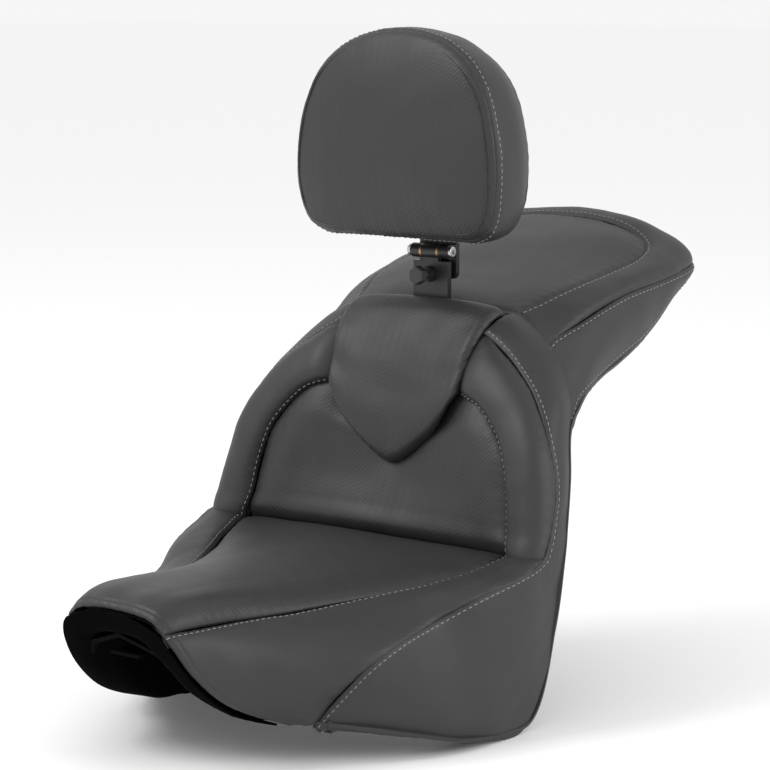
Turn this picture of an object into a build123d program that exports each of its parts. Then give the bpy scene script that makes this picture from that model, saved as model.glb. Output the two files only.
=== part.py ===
from build123d import *
import os

os.makedirs("parts", exist_ok=True)

# Two-up motorcycle seat with a folding rider's backrest. +Y rear, +X the bike's left, +Z up.
# The origin is the fender screw hole. Outlines are drawn from the rider's crease, where the
# seat top meets the lumbar wall, so every plane below starts there.

# ---- driving dimensions, mm ----
crease_y = -372.0
crease_z = -205.0
cover_t = 5.0            # vinyl with its sewn foam
foam_depth = 30.0        # cover and foam together, down to the pan
pan_t = 4.0
tail_y = 346.0
nose_y = -378.0

hinge_y = 94.0
hinge_z = 274.0
barrel_r = 7.25
pin_r = 3.0
pin_play = 0.05
knuckle_inner = 9.5      # half length of the post's knuckle
washer_t = 2.4
barrel_half = 23.5
post_w = 44.0
post_t = 6.0
post_bottom = 120.5
post_shoulder = 264.0
sleeve_wall = 3.0
sleeve_bottom = 117.0
sleeve_top = 212.0
lever_y = 103.0
plate_t = 5.0
stud_z = 251.0
stud_r = 4.0
knob_face_y = 67.0

# Cross-sections of the seat, front to back: distance from the crease, then half an outline
# from the middle of the top, over the seam and the shoulder, to the lower edge.
rider_stations = [
    (nose_y, [(0, -12), (58, -28), (64, -37), (72, -60), (84, -112)]),
    (-345, [(0, -6), (62, -28), (70, -38), (80, -62), (90, -112)]),
    (-290, [(0, 0), (72, -28), (88, -42), (104, -72), (100, -116)]),
    (-225, [(0, 0), (88, -28), (120, -46), (148, -84), (132, -130)]),
    (-155, [(0, 0), (106, -26), (144, -38), (178, -52), (174, -145)]),
    (-85, [(0, 0), (137, -18), (170, -17), (190, -30), (202, -162)]),
    (-14, [(0, 0), (166, -3), (202, -1), (215, -5), (206, -158)]),
    (40, [(0, 0), (166, -3), (202, -1), (215, -5), (206, -158)]),
]
pillion_front = 92.0
pillion_stations = [
    (pillion_front, [(0, 226), (96, 218), (144, 188), (176, 122)]),
    (150, [(0, 244), (120, 238), (154, 212), (166, 148)]),
    (220, [(0, 268), (130, 255), (158, 231), (158, 170)]),
    (290, [(0, 293), (128, 276), (155, 245), (148, 210)]),
    (328, [(0, 306), (108, 292), (142, 254), (134, 232)]),
    (tail_y, [(0, 301), (84, 290), (112, 264), (106, 248)]),
]
# Side view of the lumbar wall: its front face going up, and its back going down.
lumbar_front = [(-1, -8), (0, 0), (22, 66), (40, 140), (62, 204), (82, 227)]
lumbar_back = [(106, 222), (112, 152), (100, 134), (80, 103), (58, 66), (36, 5), (27, -34)]
# Front view, half outlines.
lumbar_arch = [(215, -8), (214, 28), (208, 62), (193, 109), (168, 147), (136, 174), (92, 204), (0, 227)]
insert_arch = [(167, -8), (162, 24), (158, 53), (146, 92), (131, 113), (109, 132), (81, 140)]
shield_half = [(0, 227), (92, 227), (88, 204), (83, 172), (80, 140), (66, 113), (38, 85), (16, 72), (0, 66)]
# Plan view, half outlines.
rider_insert_half = [(58, nose_y), (72, -290), (88, -225), (107, -155), (137, -85), (160, -35), (168, 45)]
pillion_insert_half = [(97, 80), (118, 150), (129, 220), (130, 270), (118, 300), (80, 312), (0, 316)]
# Side view of the piped seam round the rider's half, and of the pillion's side seam.
piping_line = [(4, 6), (-34, -11), (-73, -25), (-113, -39), (-140, -46), (-168, -55), (-198, -74),
               (-208, -92), (-214, -109), (-226, -129), (-230, -145)]
pillion_side_seam = [(80, 182), (140, 211), (202, 231), (272, 243), (352, 254)]
pad_half = [(0, 290), (97, 291), (113, 299), (123, 315), (128, 335), (129, 359), (127, 384), (123, 405),
            (116, 429), (105, 450), (90, 466), (72, 479), (50, 489), (28, 494), (0, 496)]
board_t = 9.0

# ---- planes and shapes measured from the crease ----


def across(y):
    """Vertical plane across the seat: local x is the seat's X, local y is height."""
    return Plane(origin=(0, crease_y + y, crease_z), x_dir=(1, 0, 0), z_dir=(0, -1, 0))


def beside(x=0.0):
    """Vertical plane along the seat: local x is distance behind the crease."""
    return Plane(origin=(x, crease_y, crease_z), x_dir=(0, 1, 0), z_dir=(1, 0, 0))


def above(z=0.0):
    """Level plane, local x and y from the crease."""
    return Plane(origin=(0, crease_y, crease_z + z), x_dir=(1, 0, 0), z_dir=(0, 0, 1))


def mirrored(half):
    """A closed outline from its right half."""
    return half + [(-x, y) for x, y in reversed(half) if x > 0]


def prism(plane, outline, depth, both=True):
    """A straight cutter or plate: a closed outline pushed out from its plane."""
    with BuildPart() as solid:
        with BuildSketch(plane):
            with BuildLine():
                Polyline(*outline, close=True)
            make_face()
        extrude(amount=depth, both=both)
    return solid.part


def lofted(stations, inset=0.0, open_below=False, end_y=None):
    """The seat's body through its cross-sections, drawn in by inset and, for a hollow, let out below."""
    first = stations[0][0]
    last = stations[-1][0]
    stretch = 1.0 if end_y is None else (end_y - first) / (last - first)
    with BuildPart() as solid:
        for y, half in stations:
            (px, pz), (bx, bz) = half[-2], half[-1]
            run = 1.0 + (90 / (pz - bz) if open_below else 0.0)
            low = (px + (bx - px) * run, pz + (bz - pz) * run)
            outline = half[:-1] + [low]
            with BuildSketch(across(first + (y - first) * stretch)):
                with BuildLine():
                    Polyline(*mirrored(outline), close=True)
                make_face()
                if inset:
                    offset(amount=-inset, kind=Kind.INTERSECTION)
        loft(ruled=True)
    return solid.part


def shifted(line, dy):
    return [(y + dy, z) for y, z in line]


def arch_prism(inset):
    """The lumbar wall's arch pushed through along the seat, drawn in by inset."""
    with BuildPart() as solid:
        with BuildSketch(across(0)):
            with BuildLine():
                Polyline(*mirrored([(215, -90)] + lumbar_arch), close=True)
            make_face()
            if inset:
                offset(amount=-inset, kind=Kind.INTERSECTION)
        extrude(amount=-240, both=True)
    return solid.part


def lumbar_slice(front_depth, back_depth, arch_inset):
    """Part of the lumbar wall between two depths behind its front face and before its back face."""
    side = shifted(lumbar_front, front_depth) + shifted(lumbar_back, -back_depth)
    with BuildPart() as solid:
        with BuildSketch(beside()):
            with BuildLine():
                Polyline(*side, close=True)
            make_face()
        extrude(amount=230, both=True)
        add(arch_prism(arch_inset), mode=Mode.INTERSECT)
    return solid.part


def half_space(sign):
    """Everything on one side of the seat's middle plane."""
    with BuildPart() as solid:
        with Locations((sign * 250, -200, 0)):
            Box(500, 1200, 1200)
    return solid.part


# Cuts that shape the rider's half: the slanted nose opening and the raked rear edge.
nose_cut = prism(beside(), [(-500, 100), (-366, 100), (-366, -14), (-338, -66), (-276, -122), (-240, -200),
                            (-500, -200)], 300)
rear_cut = prism(beside(), [(-6, -240), (0, -158), (24, -62), (36, 2), (36, 20), (200, 20), (200, -240)], 300)
behind_piping = prism(beside(), piping_line + [(-230, -240), (200, -240), (200, 6)], 300)
rider_insert_prism = prism(above(), mirrored(rider_insert_half), 60)
pillion_insert_prism = prism(above(260), mirrored(pillion_insert_half), 110)
below_side_seam = prism(beside(), pillion_side_seam + [(400, 254), (400, 60), (60, 60), (60, 182)], 300)
insert_arch_prism = prism(across(0), mirrored(insert_arch), 240)
shield_prism = prism(across(0), mirrored(shield_half), 240)

rider_outer = lofted(rider_stations)
rider_under_cover = lofted(rider_stations, cover_t, True)
rider_under_foam = lofted(rider_stations, foam_depth, True)
rider_hollow = lofted(rider_stations, foam_depth + pan_t, True)
pillion_outer = lofted(pillion_stations)
pillion_under_cover = lofted(pillion_stations, cover_t, True, tail_y - cover_t)
pillion_under_foam = lofted(pillion_stations, foam_depth, True, tail_y - foam_depth)
pillion_hollow = lofted(pillion_stations, foam_depth + pan_t, True, tail_y - foam_depth - pan_t)
lumbar_all = lumbar_slice(0, 0, 0)


def layer(stations_outer, stations_inner):
    """The wall left between two nested bodies."""
    with BuildPart() as solid:
        add(stations_outer)
        add(stations_inner, mode=Mode.SUBTRACT)
    return solid.part


def front_layer(near, far):
    """A slab that follows the lumbar wall's front face between two depths."""
    side = shifted(lumbar_front, near) + shifted(lumbar_front, far)[::-1]
    with BuildPart() as solid:
        add(prism(beside(), side, 230))
        add(arch_prism(0), mode=Mode.INTERSECT)
    return solid.part


def largest(shape):
    """The main body of a cut shape, without its loose offcuts."""
    return shape.solids().sort_by(SortBy.VOLUME)[-1]


def block(x, y, z, wide, deep, high):
    """A plain box centred at a point measured from the crease."""
    with BuildPart() as solid:
        with Locations((x, crease_y + y, crease_z + z)):
            Box(wide, deep, high)
    return solid.part


def rod(axis, centre, radius, length):
    """A round bar centred at a point measured from the crease, along X, Y or Z."""
    turn = {"X": (0, 90, 0), "Y": (90, 0, 0), "Z": (0, 0, 0)}[axis]
    with BuildPart() as solid:
        with Locations(Location((centre[0], crease_y + centre[1], crease_z + centre[2]), turn)):
            Cylinder(radius, length)
    return solid.part


def hexagon(axis, centre, across_flats, length):
    """A six-sided bar, for nuts."""
    plane = {
        "X": Plane(origin=(centre[0], crease_y + centre[1], crease_z + centre[2]), z_dir=(1, 0, 0)),
        "Y": Plane(origin=(centre[0], crease_y + centre[1], crease_z + centre[2]), z_dir=(0, 1, 0)),
    }[axis]
    with BuildPart() as solid:
        with BuildSketch(plane):
            RegularPolygon(across_flats / 2, 6, major_radius=False)
        extrude(amount=length / 2, both=True)
    return solid.part


def finish_part(builder, name):
    builder.part.label = name
    export_step(builder.part, f"parts/{name}.step")


post_way = block(0, hinge_y, 190, post_w + 2 * sleeve_wall + 0.6, post_t + 2 * sleeve_wall + 0.6, 146)

# ---- base pan: moulded shell under the foam, bolted down at the tail ----
boss_y = 103.0           # front of the bosses that the post's receiver bolts to
boss_back = 113.0
bolt_r = 3.0
receiver_bolts = [(x, z) for x in (-37, 37) for z in (154, 174)]
tab_rivets = [(-9, 272), (9, 272)]
tongue_rivets = [(-10, -273), (10, -273)]
rivet_r = 2.4
tongue_z = -46.0         # underside of the flat boss that the tongue is riveted to
pan_back_line = [(27, -34), (36, 5), (58, 66), (80, 103), (100, 134), (112, 152), (111, 203)]

pan_rider = layer(rider_under_foam, rider_hollow)
pan_tail = layer(pillion_under_foam, pillion_hollow)
pan_wall = prism(beside(), pan_back_line + shifted(pan_back_line, -pan_t)[::-1], 184)
sleeve_room = block(0, hinge_y, 164, post_w + 2 * sleeve_wall, post_t + 2 * sleeve_wall, 96)

with BuildPart() as tail_shell:
    add(pan_tail)
    add(pillion_outer, mode=Mode.INTERSECT)
    add(block(0, 10, 150, 600, 196, 400), mode=Mode.SUBTRACT)

with BuildPart() as wall_shell:
    add(pan_wall)
    add(arch_prism(foam_depth - 8), mode=Mode.INTERSECT)

with BuildPart() as pan_blank:
    add(pan_rider)
    add(rider_outer, mode=Mode.INTERSECT)
    add(nose_cut, mode=Mode.SUBTRACT)
    add(rear_cut, mode=Mode.SUBTRACT)
    add(tail_shell.part)
    add(wall_shell.part)
    for side in (-1, 1):
        add(block(side * 37, (boss_y + boss_back) / 2, 164, 22, boss_back - boss_y, 40))
    add(sleeve_room, mode=Mode.SUBTRACT)
    for x, z in receiver_bolts:
        add(rod("Y", (x, 108, z), bolt_r, 30), mode=Mode.SUBTRACT)
    for x, y in tab_rivets:
        add(rod("Z", (x, y, 255), rivet_r, 80), mode=Mode.SUBTRACT)
    add(block(0, -273, (tongue_z - 36) / 2, 44, 44, -36 - tongue_z))
    for x, y in tongue_rivets:
        add(rod("Z", (x, y, -40), rivet_r, 40), mode=Mode.SUBTRACT)

with BuildPart() as base_pan:
    add(largest(pan_blank.part))
finish_part(base_pan, "base_pan")

# Steel tab riveted under the tail: a joggled strap with the fender screw hole at its end.
tab_t = 3.0
tab_w = 34.0
screw_hole_r = 3.4
tab_line = [(246, 247.8), (290, 265.2), (310, 205), (388, 205)]
with BuildPart() as fender_tab:
    with BuildSketch(beside()):
        with BuildLine():
            FilletPolyline(*tab_line, radius=8)
        trace(line_width=tab_t)
    extrude(amount=tab_w / 2, both=True)
    fillet(fender_tab.edges().filter_by(Axis.Z).group_by(Axis.Y)[-1], 8)
    for x, y in tab_rivets:
        add(rod("Z", (x, y, 260), rivet_r, 40), mode=Mode.SUBTRACT)
    with Locations((0, 0, 0)):
        Hole(screw_hole_r, 20)
finish_part(fender_tab, "fender_tab")

# Steel tongue riveted under the nose; it slides under the frame's cross strap.
tongue_line = [(-252, tongue_z - tab_t / 2), (-294, tongue_z - tab_t / 2), (-304, -60), (-344, -60)]
with BuildPart() as front_tongue:
    with BuildSketch(beside()):
        with BuildLine():
            FilletPolyline(*tongue_line, radius=5)
        trace(line_width=tab_t)
    extrude(amount=18, both=True)
    for x, y in tongue_rivets:
        add(rod("Z", (x, y, tongue_z), rivet_r, 30), mode=Mode.SUBTRACT)
finish_part(front_tongue, "front_tongue")

with BuildPart() as strap_rivets:
    # Pop rivets that hold the tongue and the tab to the pan, with their heads below.
    for x, y in tongue_rivets:
        add(rod("Z", (x, y, tongue_z + 3.5), rivet_r, 13))
        add(rod("Z", (x, y, tongue_z - tab_t - 1), 4.4, 2.0))
    for x, y in tab_rivets:
        add(rod("Z", (x, y, 260.2), rivet_r, 8.4))
finish_part(strap_rivets, "strap_rivets")

# Rubber bumpers that carry the pan on the frame rails.
bumper_r = 14.0
bumper_z = -62.0
bumpers = [(x * side, y) for side in (-1, 1) for x, y in ((62, -215), (88, -70))]
with BuildPart() as pan_bumpers:
    for x, y in bumpers:
        add(rod("Z", (x, y, bumper_z + 25), bumper_r, 50))
    add(rider_hollow, mode=Mode.INTERSECT)
finish_part(pan_bumpers, "pan_bumpers")

# Rivets that hold the cover's hem to the inside of the pan.
hem_wall = lofted(rider_stations, foam_depth + pan_t + 1.6, True)
hem_rivets = [(-250, -104), (-200, -114), (-150, -128), (-100, -142), (-50, -142), (-12, -132)]
with BuildPart() as hem_rivet_set:
    for y, z in hem_rivets:
        add(rod("X", (0, y, z), 3.6, 460))
    add(rider_hollow, mode=Mode.INTERSECT)
    add(hem_wall, mode=Mode.SUBTRACT)
finish_part(hem_rivet_set, "hem_rivets")

# ---- receiver: the sleeve inside the lumbar foam that the backrest post drops into ----
slide_play = 0.3
with BuildPart() as post_receiver:
    add(block(0, hinge_y, (sleeve_bottom + sleeve_top) / 2, post_w + 2 * sleeve_wall,
              post_t + 2 * sleeve_wall, sleeve_top - sleeve_bottom))
    add(block(0, hinge_y + post_t / 2 + sleeve_wall + 1.5, 164, 96, 3, 33))
    add(block(0, hinge_y, (sleeve_bottom + sleeve_top) / 2 + sleeve_wall, post_w + 2 * slide_play,
              post_t + 2 * slide_play, sleeve_top - sleeve_bottom), mode=Mode.SUBTRACT)
    add(block(0, hinge_y - 5, 182, 14, 8, 22), mode=Mode.SUBTRACT)
    for x, z in receiver_bolts:
        add(rod("Y", (x, 101.5, z), bolt_r, 8), mode=Mode.SUBTRACT)
finish_part(post_receiver, "post_receiver")

with BuildPart() as receiver_bolt_set:
    for x, z in receiver_bolts:
        add(rod("Y", (x, 107.5, z), bolt_r, 23))
        add(hexagon("Y", (x, 98, z), 10, 4))
finish_part(receiver_bolt_set, "receiver_bolts")

with BuildPart() as receiver_nut_set:
    for x, z in receiver_bolts:
        add(hexagon("Y", (x, boss_back + 2.5, z), 10, 5))
        add(rod("Y", (x, boss_back + 2.5, z), bolt_r, 5), mode=Mode.SUBTRACT)
finish_part(receiver_nut_set, "receiver_nuts")

# Leaf spring on the sleeve's front; its bump stands in the window and steadies the post.
with BuildPart() as post_spring:
    add(block(0, hinge_y - 6.6, 178, 12, 1.2, 62))
    add(block(0, hinge_y - 4.9, 182, 12, 3.0, 12))
finish_part(post_spring, "post_spring")

# ---- backrest post, with the middle knuckle and the weld nut of the tilt screw ----
with BuildPart() as backrest_post:
    add(block(0, hinge_y, (post_bottom + post_shoulder) / 2, post_w, post_t, post_shoulder - post_bottom))
    add(block(0, hinge_y, post_shoulder + 3, 2 * knuckle_inner, post_t, 6))
    add(rod("X", (0, hinge_y, hinge_z), barrel_r, 2 * knuckle_inner))
    add(rod("Y", (0, hinge_y - post_t / 2 - 4, stud_z), 8, 8))
    add(rod("X", (0, hinge_y, hinge_z), pin_r + pin_play, 40), mode=Mode.SUBTRACT)
    add(rod("Y", (0, hinge_y, stud_z), stud_r + pin_play, 60), mode=Mode.SUBTRACT)
    fillet(backrest_post.edges().filter_by(Axis.Y).group_by(Axis.Z)[0], 3)
finish_part(backrest_post, "backrest_post")

# ---- tilt screw and its knob ----
with BuildPart() as tilt_stud:
    stud_tip = lever_y - 0.1
    add(rod("Y", (0, (knob_face_y + 5 + stud_tip) / 2, stud_z), stud_r, stud_tip - knob_face_y - 5))
finish_part(tilt_stud, "tilt_stud")

with BuildPart() as tilt_knob:
    with BuildSketch(Plane(origin=(0, crease_y + knob_face_y, crease_z + stud_z), z_dir=(0, 1, 0))):
        RegularPolygon(9.5, 6)
    extrude(amount=8)
    chamfer(tilt_knob.faces().sort_by(Axis.Y)[0].edges(), 0.8)
    add(rod("Y", (0, knob_face_y + 9.5, stud_z), 6.5, 3))
    add(rod("Y", (0, knob_face_y + 10, stud_z), stud_r + pin_play, 10), mode=Mode.SUBTRACT)
finish_part(tilt_knob, "tilt_knob")

# ---- hinged backrest ----
plate_low = 246.0
plate_high = 376.0
plate_bolts = [(x, z) for x in (-14, 14) for z in (312, 356)]
knuckle_outer = knuckle_inner + washer_t
with BuildPart() as pad_bracket:
    add(block(0, lever_y + plate_t / 2, (plate_low + plate_high) / 2, 2 * barrel_half, plate_t,
              plate_high - plate_low))
    fillet(pad_bracket.edges().filter_by(Axis.Y), 7)
    for side in (-1, 1):
        mid = side * (knuckle_outer + barrel_half) / 2
        wide = barrel_half - knuckle_outer
        add(rod("X", (mid, hinge_y, hinge_z), barrel_r, wide))
        add(block(mid, (hinge_y + lever_y + 1) / 2, hinge_z + 1.5, wide, lever_y - hinge_y + 1, 10))
    add(rod("X", (0, hinge_y, hinge_z), pin_r, 80), mode=Mode.SUBTRACT)
    for x, z in plate_bolts:
        add(rod("Y", (x, lever_y, z), bolt_r, 30), mode=Mode.SUBTRACT)
finish_part(pad_bracket, "pad_bracket")

with BuildPart() as hinge_screw:
    add(rod("X", (-2, hinge_y, hinge_z), pin_r, 2 * barrel_half + 10))
    add(rod("X", (barrel_half + 1.6, hinge_y, hinge_z), 5.8, 3.2))
    fillet(hinge_screw.edges().filter_by(GeomType.CIRCLE).sort_by(Axis.X)[-1], 1.6)
    with BuildSketch(Plane(origin=(barrel_half + 3.2, crease_y + hinge_y, crease_z + hinge_z), z_dir=(1, 0, 0))):
        RegularPolygon(2, 6, major_radius=False)
    extrude(amount=-2, mode=Mode.SUBTRACT)
finish_part(hinge_screw, "hinge_screw")

with BuildPart() as hinge_nut:
    add(hexagon("X", (-barrel_half - 2.5, hinge_y, hinge_z), 10, 5))
    add(rod("X", (-barrel_half - 2.5, hinge_y, hinge_z), pin_r, 6), mode=Mode.SUBTRACT)
finish_part(hinge_nut, "hinge_nut")

with BuildPart() as hinge_washers:
    for side in (-1, 1):
        add(rod("X", (side * (knuckle_outer - washer_t / 2 + 0.05), hinge_y, hinge_z), barrel_r, washer_t - 0.1))
    add(rod("X", (0, hinge_y, hinge_z), pin_r, 60), mode=Mode.SUBTRACT)
finish_part(hinge_washers, "hinge_washers")


def pad_body(stages):
    """The backrest pad's outline lofted through stages of distance behind the crease and scale."""
    with BuildPart() as solid:
        for y, k in stages:
            with BuildSketch(across(y)):
                with BuildLine():
                    Polyline(*[(x * k, 392 + (z - 392) * k) for x, z in mirrored(pad_half)], close=True)
                make_face()
        loft(ruled=True)
    return solid.part


dome = [(34, 1.0), (26, 0.95), (19, 0.83), (15, 0.55)]
pad_inside = pad_body([(30, 0.93), (24, 0.84), (20.5, 0.55)][::-1] + [(34, 0.965), (96, 0.87)])
with BuildPart() as pad_face_cover:
    add(pad_body(dome[::-1]))
    add(pad_body([(20.5, 0.55), (24, 0.84), (30, 0.93), (34, 0.965)]), mode=Mode.SUBTRACT)
finish_part(pad_face_cover, "pad_face_cover")

with BuildPart() as pad_boxing_band:
    add(pad_body([(34, 1.0), (60, 0.985), (98, 0.905)]))
    add(pad_body([(34, 0.965), (60, 0.95), (98, 0.87)]), mode=Mode.SUBTRACT)
finish_part(pad_boxing_band, "pad_boxing_band")

with BuildPart() as pad_back_cover:
    add(pad_body([(98, 0.905), (101, 0.89), (103, 0.86)]))
    add(block(0, 98, 392, 600, 4, 600), mode=Mode.SUBTRACT)
    for x, z in plate_bolts:
        add(rod("Y", (x, lever_y, z), bolt_r, 30), mode=Mode.SUBTRACT)
finish_part(pad_back_cover, "pad_back_cover")

with BuildPart() as pad_board:
    add(pad_body([(98 - board_t, 0.865), (98, 0.865)]))
    for x, z in plate_bolts:
        add(rod("Y", (x, 98, z), bolt_r + 1, 30), mode=Mode.SUBTRACT)
finish_part(pad_board, "pad_board")

with BuildPart() as pad_tee_nuts:
    for x, z in plate_bolts:
        add(rod("Y", (x, 98 - board_t - 0.75, z), 8, 1.5))
        add(rod("Y", (x, 98 - board_t / 2 - 0.5, z), bolt_r + 1, board_t - 1))
        add(rod("Y", (x, 98 - board_t / 2, z), bolt_r, 30), mode=Mode.SUBTRACT)
finish_part(pad_tee_nuts, "pad_tee_nuts")

with BuildPart() as pad_bolts:
    for x, z in plate_bolts:
        add(rod("Y", (x, 98, z), bolt_r, 20))
        add(hexagon("Y", (x, lever_y + plate_t + 2, z), 10, 4))
finish_part(pad_bolts, "pad_bolts")

with BuildPart() as pad_foam:
    add(pad_body([(20.5, 0.55), (24, 0.84), (30, 0.93), (34, 0.965), (60, 0.95), (98 - board_t, 0.88)]))
    for x, z in plate_bolts:
        add(rod("Y", (x, 90, z), 8, 22), mode=Mode.SUBTRACT)
finish_part(pad_foam, "pad_foam")

# ---- covers: sewn panels, each with its own layer of foam ----
rider_cover = layer(rider_outer, rider_under_cover)
pillion_cover = layer(pillion_outer, pillion_under_cover)
right_side = half_space(-1)
left_side = half_space(1)

with BuildPart() as rider_insert_cover:
    add(rider_cover)
    add(rider_insert_prism, mode=Mode.INTERSECT)
    add(nose_cut, mode=Mode.SUBTRACT)
    add(rear_cut, mode=Mode.SUBTRACT)
    add(block(0, 118, 0, 600, 230, 200), mode=Mode.SUBTRACT)
finish_part(rider_insert_cover, "rider_insert_cover")

with BuildPart() as rider_sides:
    add(rider_cover)
    add(rider_insert_prism, mode=Mode.SUBTRACT)
    add(nose_cut, mode=Mode.SUBTRACT)
    add(rear_cut, mode=Mode.SUBTRACT)

with BuildPart() as lumbar_ring:
    add(lumbar_all)
    add(arch_prism(cover_t), mode=Mode.SUBTRACT)
    add(shield_prism, mode=Mode.SUBTRACT)

with BuildPart() as lumbar_facing:
    add(front_layer(0, 9))
    add(shield_prism, mode=Mode.SUBTRACT)

rear_side_covers = []
for name, other_side in (("left", right_side), ("right", left_side)):
    with BuildPart() as rider_side_cover:
        add(rider_sides.part)
        add(other_side, mode=Mode.SUBTRACT)
        add(behind_piping, mode=Mode.SUBTRACT)
    finish_part(rider_side_cover, f"rider_side_cover_{name}")

    with BuildPart() as rear_side_cover:
        add(rider_sides.part)
        add(behind_piping, mode=Mode.INTERSECT)
        add(lumbar_ring.part)
        add(lumbar_facing.part, mode=Mode.SUBTRACT)
        add(other_side, mode=Mode.SUBTRACT)
        add(base_pan.part, mode=Mode.SUBTRACT)
    finish_part(rear_side_cover, f"rear_side_cover_{name}")
    rear_side_covers.append(rear_side_cover.part)

    with BuildPart() as bolster_blank:
        add(lumbar_facing.part)
        add(insert_arch_prism, mode=Mode.SUBTRACT)
        add(other_side, mode=Mode.SUBTRACT)
        add(rider_outer, mode=Mode.SUBTRACT)

    with BuildPart() as lumbar_bolster_cover:
        add(largest(bolster_blank.part))
    finish_part(lumbar_bolster_cover, f"lumbar_bolster_cover_{name}")

with BuildPart() as lumbar_insert_cover:
    add(lumbar_facing.part)
    add(insert_arch_prism, mode=Mode.INTERSECT)
    add(rider_outer, mode=Mode.SUBTRACT)
finish_part(lumbar_insert_cover, "lumbar_insert_cover")

with BuildPart() as shield_pad:
    add(front_layer(-8, 14))
    add(shield_prism, mode=Mode.INTERSECT)
    add(post_way, mode=Mode.SUBTRACT)
finish_part(shield_pad, "shield_pad")

with BuildPart() as pillion_insert_cover:
    add(pillion_cover)
    add(pillion_insert_prism, mode=Mode.INTERSECT)
    add(lumbar_all, mode=Mode.SUBTRACT)
    add(block(0, 1, 150, 600, 200, 400), mode=Mode.SUBTRACT)
finish_part(pillion_insert_cover, "pillion_insert_cover")

with BuildPart() as pillion_band_cover:
    add(pillion_cover)
    add(pillion_insert_prism, mode=Mode.SUBTRACT)
    add(below_side_seam, mode=Mode.SUBTRACT)
    add(lumbar_all, mode=Mode.SUBTRACT)
finish_part(pillion_band_cover, "pillion_band_cover")

with BuildPart() as pillion_side_cover:
    add(pillion_cover)
    add(below_side_seam, mode=Mode.INTERSECT)
    add(lumbar_all, mode=Mode.SUBTRACT)
    add(block(0, 5, 150, 600, 210, 400), mode=Mode.SUBTRACT)
finish_part(pillion_side_cover, "pillion_side_cover")

# ---- foam and gel ----
gel_top = 12.0
gel_bottom = 22.0


def gel_shape(stations, y, half_length, half_width, last):
    """An oval gel pad that follows the seat's top a little below the cover."""
    stop = None if last is None else last - gel_top
    with BuildPart() as solid:
        add(lofted(stations, gel_top, True, stop))
        add(lofted(stations, gel_bottom, True, stop), mode=Mode.SUBTRACT)
        with BuildSketch(above(-80) if last is None else above(200)):
            with Locations((0, y)):
                Ellipse(half_width, half_length)
        extrude(amount=160, mode=Mode.INTERSECT)
    return solid.part


with BuildPart() as rider_gel_pad:
    add(gel_shape(rider_stations, -105, 85, 90, None))
finish_part(rider_gel_pad, "rider_gel_pad")

with BuildPart() as pillion_gel_pad:
    add(gel_shape(pillion_stations, 212, 70, 85, tail_y))
finish_part(pillion_gel_pad, "pillion_gel_pad")

with BuildPart() as rider_foam:
    add(layer(rider_under_cover, rider_under_foam))
    add(rider_outer, mode=Mode.INTERSECT)
    add(nose_cut, mode=Mode.SUBTRACT)
    add(rear_cut, mode=Mode.SUBTRACT)
    add(front_layer(0, 60), mode=Mode.SUBTRACT)
    add(base_pan.part, mode=Mode.SUBTRACT)
    add(strap_rivets.part, mode=Mode.SUBTRACT)
    add(rider_gel_pad.part, mode=Mode.SUBTRACT)
finish_part(rider_foam, "rider_foam")

with BuildPart() as lumbar_blank:
    add(lumbar_slice(9, 0, cover_t))
    add(base_pan.part, mode=Mode.SUBTRACT)
    add(prism(beside(), pan_back_line + [(300, 203), (300, -34)], 240), mode=Mode.SUBTRACT)
    add(shield_pad.part, mode=Mode.SUBTRACT)
    add(post_way, mode=Mode.SUBTRACT)
    add(block(0, 95, 164, 102, 18, 42), mode=Mode.SUBTRACT)
    add(block(0, hinge_y - 8, 178, 16, 10, 70), mode=Mode.SUBTRACT)
    add(rider_foam.part, mode=Mode.SUBTRACT)
    add(rider_insert_cover.part, mode=Mode.SUBTRACT)
    for cover in rear_side_covers:
        add(cover, mode=Mode.SUBTRACT)

with BuildPart() as lumbar_foam:
    add(largest(lumbar_blank.part))
finish_part(lumbar_foam, "lumbar_foam")

with BuildPart() as pillion_blank:
    add(layer(pillion_under_cover, pillion_under_foam))
    add(pillion_outer, mode=Mode.INTERSECT)
    add(pillion_gel_pad.part, mode=Mode.SUBTRACT)
    add(block(0, 12, 150, 600, 200, 400), mode=Mode.SUBTRACT)
    add(lumbar_foam.part, mode=Mode.SUBTRACT)
    add(base_pan.part, mode=Mode.SUBTRACT)
    add(strap_rivets.part, mode=Mode.SUBTRACT)

with BuildPart() as pillion_foam:
    add(largest(pillion_blank.part))
finish_part(pillion_foam, "pillion_foam")
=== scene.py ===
import math

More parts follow.
